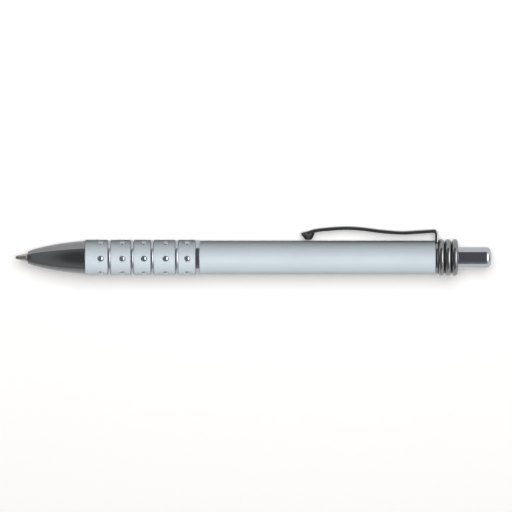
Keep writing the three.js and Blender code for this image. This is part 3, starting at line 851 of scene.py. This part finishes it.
def thread(front, rear, crest, pitch, depth):
    """Offsets that cut a thread into a side of the crest's radius, inwards if depth is negative."""
    def height(x, angle, radius):
        if abs(radius - crest) > 1e-3 or not front < x < rear:
            return 0.0
        wave = (x / pitch - angle / TURN) % 1.0
        fade = min((x - front) / pitch, (rear - x) / pitch, 1.0)
        return depth * fade * min(1.0, 2.6 * abs(wave - 0.5))
    return height


class PEN_OT_screw_joint(Operator):
    """Turns the two threaded bushes and the ring between grip and barrel"""
    bl_idname = "pen.screw_joint"
    bl_label = "Screw joint"

    def execute(self, context):
        s = sizes(context)
        front, rear = ends("front_thread_bush")
        face = ends("grip_sleeve")[1]
        start, stop = face + PLAIN_END, rear - PLAIN_END
        outline = rounded([(front, 3.15, 0.05), (front, SPIGOT, 0.15), (face, SPIGOT, 0.05),
                           (face, THREAD, 0.03), (start, THREAD)], closed=False)
        outline += straight(start, stop, THREAD, 96)[1:]
        outline += rounded([(rear - 0.3, THREAD), (rear, 3.4, 0.05), (rear, 3.15, 0.05),
                            (front, 3.15)], closed=False)[:-1]
        turned("front_bush", outline, "brass", "front", "front_thread_bush",
               offset=thread(start, stop, THREAD, s.thread_pitch, -0.3))
        front, rear = ends("barrel_thread_bush")
        start, stop = front + PLAIN_END, rear - PLAIN_END
        outline = rounded([(front, 3.9, 0.03), (front, BUSH, 0.1), (rear, BUSH, 0.1),
                           (rear, THREAD_BORE)], closed=False)
        outline += straight(stop, start, THREAD_BORE, 120)
        turned("barrel_bush", outline, "brass", "barrel", "barrel_thread_bush",
               offset=thread(start, stop, THREAD_BORE, s.thread_pitch, 0.24))
        front, rear = ends("joint_ring")
        turned("joint_band", rounded([(front, THREAD_BORE, 0.05), (front, s.joint, 0.1),
                                      (rear, s.joint, 0.1), (rear, THREAD_BORE, 0.05)]),
               "bright_chrome", "joint", "joint_ring")
        return {"FINISHED"}


class PEN_OT_barrel(Operator):
    """Draws the satin barrel"""
    bl_idname = "pen.barrel"
    bl_label = "Barrel"

    def execute(self, context):
        s = sizes(context)
        front, rear = ends("barrel_tube")
        bore = s.barrel - s.barrel_wall
        turned("barrel_body", rounded([
            (front, bore, 0.05), (front, s.barrel, 0.09),
            *straight(front, rear, s.barrel, 12)[1:-1], (rear, s.barrel, 0.09), (rear, bore, 0.05),
        ]), "satin_metal", "barrel", "barrel_tube")
        return {"FINISHED"}


class PEN_OT_cap(Operator):
    """Turns the cap's bush and its three round-backed rings"""
    bl_idname = "pen.cap"
    bl_label = "Cap"

    def execute(self, context):
        s = sizes(context)
        front, rear = ends("top_bush")
        seat = ends("barrel_tube")[1]
        turned("cap_bush", rounded([
            (front, 3.5, 0.1), (front, BUSH, 0.1), (seat, BUSH, 0.02), (seat, s.cap_seat, 0.02),
            (rear, s.cap_seat, 0.15), (rear, 3.2, 0.15), (rear - 1, 3.2, 0.05),
            (rear - 1, 3.5, 0.05),
        ]), "black_plastic", "barrel", "top_bush")
        inner, half = s.cap_seat + FIT, s.cap_ring_section
        for i in range(1, 4):
            front, rear = ends(f"cap_ring_{i}")
            crown = arc(((front + rear) / 2, s.cap_ring - half), half, pi, 0.0, 32)
            turned(f"cap_band_{i}", [(front, inner, 0.0), *crown, (rear, inner, 0.0)],
                   "dark_chrome", "barrel", f"cap_ring_{i}")
        return {"FINISHED"}


CLIP_SLOPE = 0.29  # rise of the clip at its pad
PAD_GAP, PAD_TOP = 0.22, 2.5  # from the barrel to the pad, and to the clip's middle over it
CREST = 0.54  # from the clip's middle to the top of its arch
CLIP_STEPS = 240  # along the curve of the clip


def clip_stations(s, leg):
    """Stations along the clip from its free end: middle, outward normal, half width and arch."""
    half, bend = s.clip_width / 2, 0.9
    pad, top = leg - s.clip_reach, s.barrel + PAD_TOP
    corner = Vector((leg - bend, s.barrel + 2.93))
    knots = [(pad - half, top - 0.7), (pad, top)]
    knots += [(leg - share * s.clip_reach, s.barrel + height) for share, height in (
        (0.945, 3.06), (0.86, 3.45), (0.72, 3.8), (0.59, 3.58), (0.43, 2.84), (0.275, 2.42),
        (0.14, 2.66))]
    line = smooth_line(knots + [tuple(corner)], CLIP_STEPS)
    run = sum((b - a).length for a, b in zip(line, line[1:]))
    step = run / CLIP_STEPS

    def at(place):
        k = min(int(place / step), CLIP_STEPS - 1)
        middle = line[k].lerp(line[k + 1], place / step - k)
        way = (line[k + 1] - line[k]).normalized()
        return middle, Vector((-way.y, way.x))

    places = []
    for k in range(1, 16):
        turn = pi / 2 * (1 - k / 16)
        places.append((half * (1 - sin(turn)), half * cos(turn)))
    places += [(half + (run - half) * k / 90, half) for k in range(91)]
    stations = [(*at(place), wide, 1.0) for place, wide in places]
    centre = Vector((corner.x, corner.y - bend))
    for k in range(1, 13):
        turn = pi / 2 * k / 12
        normal = Vector((sin(turn), cos(turn)))
        stations.append((centre + bend * normal, normal, half, 1 - k / 12))
    for height in (centre.y - 0.6, s.barrel + 0.9, s.barrel + 0.3, s.barrel - 0.5):
        stations.append((Vector((leg, height)), Vector((1, 0)), half, 0.0))
    return stations


def clip_sheet(s, leg):
    """The arched sheet of the clip, from its round free end to its foot in the collar."""
    shape = Shape()
    rows = []
    whole, thick = s.clip_width / 2, s.clip_sheet / 2
    turns = [pi * (0.5 - k / 8) for k in range(1, 8)]
    for middle, normal, wide, arch in clip_stations(s, leg):
        crown = s.clip_crown * arch
        lift = CREST * arch - thick * arch
        edge = min(0.16, 0.5 * wide)
        loop = [((-1 + 2 * k / 16) * (wide - edge), thick, 0.0) for k in range(17)]
        loop += [(wide - edge + edge * cos(t), thick * sin(t), 1.0) for t in turns]
        loop += [(-y, -out, mark) for y, out, mark in loop]
        row = []
        for y, out, mark in loop:
            at = middle + normal * (out + lift - crown * (y / whole) ** 2)
            row.append(shape.add((at.x, y, at.y), mark))
        rows.append(row)
    shape.grid(rows)
    shape.faces += [rows[0], rows[-1]]
    return shape


def clip_bowl(pad, outline):
    """A round form across the pen at the clip's pad, of (height, reach, edge, slope) points."""
    shape = Shape()
    angles = [TURN * j / 64 for j in range(64)]

    def place(point, angle):
        up, reach, _, lean = point
        return (pad + reach * cos(angle), reach * sin(angle),
                up + lean * CLIP_SLOPE * reach * cos(angle))

    shape.grid(shape.rings(outline, angles, place))
    return shape


class PEN_OT_clip(Operator):
    """Bends the clip from one sheet with its collar, and presses the pad into its end"""
    bl_idname = "pen.clip"
    bl_label = "Clip"

    def execute(self, context):
        s = sizes(context)
        front, rear = ends("clip_collar")
        leg = (front + rear) / 2
        pad, half = leg - s.clip_reach, s.clip_width / 2
        flat, top = s.barrel + PAD_GAP, s.barrel + PAD_TOP
        knots = [(0.7, 0.0), (0.98, 0.06), (0.55 * half, 0.16), (0.705 * half, 0.4),
                 (0.855 * half, 0.63), (0.985 * half, 0.84)]
        side = smooth_line([(reach, flat + up * (top - flat)) for reach, up in knots], 20)
        bowl = clip_bowl(pad, [
            (flat, 0.0, 0.0, 0.0), (flat, 0.5, 0.0, 0.0),
            *[(p.y, p.x, 0.0, ((p.y - flat) / (top - flat)) ** 2) for p in side],
            (top, 0.9 * half, 0.0, 1.0), (top, 0.0, 0.0, 1.0)])
        crest = top + CREST
        turns = [pi / 2 * k / 12 for k in range(1, 12)]
        dish = clip_bowl(pad, [
            (crest - 1.15, 0.0, 0.0, 0.0),
            *[(crest + 0.2 - 1.35 * cos(t), 1.5 * sin(t), 0.0, 0.0) for t in turns],
            (crest + 0.5, 1.6, 0.0, 0.0), (crest + 0.5, 0.0, 0.0, 0.0)])
        inner, outer = s.cap_seat + FIT, 5.0
        ring = Shape().turn(rounded([(front, inner, 0.04), (front, outer, 0.12),
                                     (rear, outer, 0.12), (rear, inner, 0.04)]))
        mesh = combined(clip_sheet(s, leg).mesh("clip_sheet"), bowl.mesh("bowl"), "UNION")
        mesh = combined(mesh, dish.mesh("dish"), "DIFFERENCE")
        mesh = combined(mesh, ring.mesh("collar"), "UNION")
        mesh.name = "clip_body"
        mesh.shade_smooth()
        mesh.set_sharp_from_angle(angle=radians(38))
        mesh.materials.clear()
        show("clip_body", mesh, "dark_chrome",
             ("barrel", "clip", (leg - 0.4, 0, 0), (leg - 14, 0, 0)), "clip_arm", "clip_collar")
        return {"FINISHED"}


class PEN_OT_button(Operator):
    """Turns the push button"""
    bl_idname = "pen.button"
    bl_label = "Push button"

    def execute(self, context):
        s = sizes(context)
        front, end = ends("push_button")
        edge, stem, flange = s.button_edge, 1.7, 3.4
        outline = rounded([
            (front + 7, 0), (front + 7, stem, 0.05), (front, stem, 0.05), (front, flange, 0.1),
            (front + 1.5, flange, 0.1), (front + 1.5, s.button, 0.05),
            (end - edge - 0.4, s.button)], closed=False)
        outline += arc((end - edge, s.button - edge), edge, pi / 2, 0.0, 16)
        outline += [(end, 0.8, 0.0), (end, 0.0, 0.0)]
        turned("button", outline, "bright_chrome", "button", "push_button", closed=False)
        return {"FINISHED"}


class PEN_OT_inner_pieces(Operator):
    """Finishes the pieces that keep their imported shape: ink, follower, plunger, rotor and sleeve"""
    bl_idname = "pen.inner_pieces"
    bl_label = "Inner pieces"

    def execute(self, context):
        slots = {row["node"]: row["material_slot"] for row in frame["record"]["subparts"]}
        for name in ("ink", "ink_follower", "plunger", "cam_rotor", "cam_sleeve"):
            piece = frame["nodes"][name]
            piece.data.materials.clear()
            piece.data.materials.append(bpy.data.materials[slots[name]])
        return {"FINISHED"}


POLISHED = ("bright_chrome", "dark_chrome", "nickel_silver", "carbide", "brass", "refill_steel",
            "spring_steel")  # mirror the room, and not the lamps
BLACK = (0, 0, 0, 1)
DIM = (0.1, 0.09, 0.08, 1)  # light of the room on what doesn't mirror it
FLOOR_REACH = 4.0  # metres from the middle to each side
SOFTBOX = 0.6  # metres across
VIEW_DISTANCE, VIEW_WIDTH = 2.0, 0.1506  # metres


def unseen(tree):
    """One for light thrown back on the pen, nought for what camera, metal and glass see."""
    rays = wire(tree, "LightPath").outputs
    seen = maths(tree, "MAXIMUM", rays["Is Camera Ray"], rays["Is Glossy Ray"],
                 rays["Is Transmission Ray"])
    return maths(tree, "SUBTRACT", 1.0, seen)


def paper_finish(shade):
    """Pale paper that stays white far from the lamps, and is clear from below."""
    made = Finish("floor_paper", {"Roughness": 0.9, "Specular IOR Level": 0.1,
                                  "Emission Strength": 1.0})
    tree = made.tree
    grain = made.use("blast_grain", Grain=0.8, Mottle=0.02)
    hidden = unseen(tree)
    made.shades(shade, (grain["Tone"], 0.5, 0.985), (hidden, 1.0, 0.06))
    away = vectors(tree, "LENGTH", wire(tree, "TexCoord").outputs["Object"])
    glow = ranged(tree, away, 0.12, 0.6, 0.24, 0.95)
    made.feed("Emission Color", mixed(tree, hidden, glow, BLACK))
    below = wire(tree, "NewGeometry").outputs["Backfacing"]
    made.feed("Alpha", maths(tree, "SUBTRACT", 1.0, below))
    return made.material


def light_room(scene):
    """A dim room with a window, a bright back and a white band level with the floor.

    The camera, metal and glass see the same room; only its light on the satin is set apart.
    """
    world = bpy.data.worlds.new("studio")
    scene.world = world
    world.use_nodes = True
    tree = world.node_tree
    tree.nodes.clear()
    ramp, times = partial(ranged, tree), partial(maths, tree, "MULTIPLY")
    heading = wire(tree, "TexCoord").outputs["Generated"]
    right, up, near, sky, beyond = (
        vectors(tree, "DOT_PRODUCT", heading, axis)
        for axis in ((1, 0, 0), tuple(TOWARDS_CLIP), tuple(TOWARDS_VIEWER), (0, 0, 1), (0, -1, 0)))
    aside = wire(tree, "CombineXYZ", {0: maths(tree, "DIVIDE", right, 0.38),
                                      1: maths(tree, "DIVIDE", up, 0.9)}).outputs[0]
    room = times(ramp(vectors(tree, "LENGTH", aside), 0.8, 1.15, 0.16, 0.42),
                 ramp(maths(tree, "ABSOLUTE", right), 0.62, 0.8, 1.0, 0.3))
    height = maths(tree, "POWER", maths(tree, "MAXIMUM", near, 0.0), 3.0)
    window = times(ramp(right, 0.30, 0.38), ramp(right, 0.84, 0.90, 1.0, 0.0),
                   ramp(sky, 0.02, 0.1), ramp(up, 0.3, 1.0, 1.0, 0.1),
                   ramp(up, -0.95, -0.3, 0.05, 1.0), ramp(height, 0.0, 0.8, 2.0, 6.0))
    behind = ramp(beyond, 0.3, 0.5)
    edge = maths(tree, "SUBTRACT", sky, times(behind, ramp(right, -0.12, -0.04, 0.0, 0.18)))
    back = times(ramp(edge, 0.40, 0.46, 1.0, 0.0), behind, ramp(right, -0.12, -0.04, 0.75, 1.1))
    rim = maths(tree, "SUBTRACT", edge, times(behind, 0.43))
    room = times(room, ramp(rim, 0.02, 0.12, 0.3, 1.0))
    band = ramp(maths(tree, "ABSOLUTE", sky), 0.05, 0.06, 1.0, 0.0)
    seen = maths(tree, "MAXIMUM", room, window, back, band)
    level = mixed(tree, unseen(tree), seen, DIM)
    sky_light = wire(tree, "Background", {"Color": level, "Strength": 1.0})
    wire(tree, "OutputWorld", {0: sky_light.outputs[0]})


def hang_softboxes(scene):
    """One softbox for the floor and one for the satin; neither lights the polished metals."""
    for name, place, power, tint, left_out in (
            ("key", (0.05, 0.52, 0.86), 10.2, (1, 1, 1), (*POLISHED, "satin_metal")),
            ("top", (-0.05, 0.10, 1.0), 11.2, (0.91, 1.0, 1.07), (*POLISHED, "floor_paper"))):
        lamp = bpy.data.lights.new(name, "AREA")
        lamp.shape, lamp.size, lamp.energy, lamp.color = "SQUARE", SOFTBOX, power, tint
        softbox = bpy.data.objects.new(name, lamp)
        scene.collection.objects.link(softbox)
        softbox.location = place
        softbox.rotation_euler = (-softbox.location).to_track_quat("-Z", "Y").to_euler()
        softbox.visible_camera = False
        unlit = bpy.data.collections.new("not_lit_by_" + name)
        softbox.light_linking.receiver_collection = unlit
        for piece in scene.objects:
            finish = piece.active_material if piece.type == "MESH" else None
            if finish and finish.name in left_out:
                unlit.objects.link(piece)
        for piece in unlit.collection_objects:
            piece.light_linking.link_state = "EXCLUDE"


def set_camera(scene):
    """Looks square at the pen, from where the photograph was taken."""
    data = bpy.data.cameras.new("camera")
    data.lens = data.sensor_width * VIEW_DISTANCE / VIEW_WIDTH
    data.clip_start, data.clip_end = 0.1, 20
    camera = bpy.data.objects.new("camera", data)
    scene.collection.objects.link(camera)
    middle = Vector((0.0008, *PEN.translation.yz)) + TOWARDS_CLIP * 0.00041
    axes = Matrix((Vector((1, 0, 0)), TOWARDS_CLIP, TOWARDS_VIEWER)).transposed().to_4x4()
    camera.matrix_world = Matrix.Translation(middle + TOWARDS_VIEWER * VIEW_DISTANCE) @ axes
    scene.camera = camera
    scene.view_settings.view_transform = "Standard"


class PEN_OT_studio(Operator):
    """Lays the floor, and sets the light and the camera"""
    bl_idname = "pen.studio"
    bl_label = "Studio"

    def execute(self, context):
        scene = context.scene
        low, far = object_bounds()[0].z, FLOOR_REACH
        mesh = bpy.data.meshes.new("floor")
        mesh.from_pydata([(-far, -far, low), (far, -far, low), (far, far, low), (-far, far, low)],
                         [], [(0, 1, 2, 3)])
        mesh.materials.append(paper_finish(scene.pen_colours.floor))
        floor = bpy.data.objects.new("floor", mesh)
        scene.collection.objects.link(floor)
        floor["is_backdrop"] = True
        light_room(scene)
        hang_softboxes(scene)
        set_camera(scene)
        return {"FINISHED"}


class PEN_PT_panel(Panel):
    """Lists the pen's builders and its sizes"""
    bl_idname = "PEN_PT_panel"
    bl_label = "Pen"
    bl_space_type = "VIEW_3D"
    bl_region_type = "UI"
    bl_category = "Pen"

    def draw(self, context):
        for operator in OPERATORS:
            self.layout.operator(operator.bl_idname)
        for group in (context.scene.pen_sizes, context.scene.pen_colours):
            for name in group.__annotations__:
                self.layout.prop(group, name)


OPERATORS = (
    PEN_OT_finishes, PEN_OT_point, PEN_OT_refill, PEN_OT_spring, PEN_OT_nose, PEN_OT_grip,
    PEN_OT_grip_rings, PEN_OT_studs, PEN_OT_screw_joint, PEN_OT_barrel, PEN_OT_cap, PEN_OT_clip,
    PEN_OT_button, PEN_OT_inner_pieces, PEN_OT_studio,
)
CLASSES = (PenSizes, PenColours, *OPERATORS, PEN_PT_panel)


def register():
    for item in CLASSES:
        bpy.utils.register_class(item)
    bpy.types.Scene.pen_sizes = PointerProperty(type=PenSizes)
    bpy.types.Scene.pen_colours = PointerProperty(type=PenColours)


def unregister():
    del bpy.types.Scene.pen_colours
    del bpy.types.Scene.pen_sizes
    for item in reversed(CLASSES):
        bpy.utils.unregister_class(item)


def main():
    register()
    for operator in OPERATORS:
        family, name = operator.bl_idname.split(".")
        getattr(getattr(bpy.ops, family), name)()


if __name__ == "__main__":
    main()
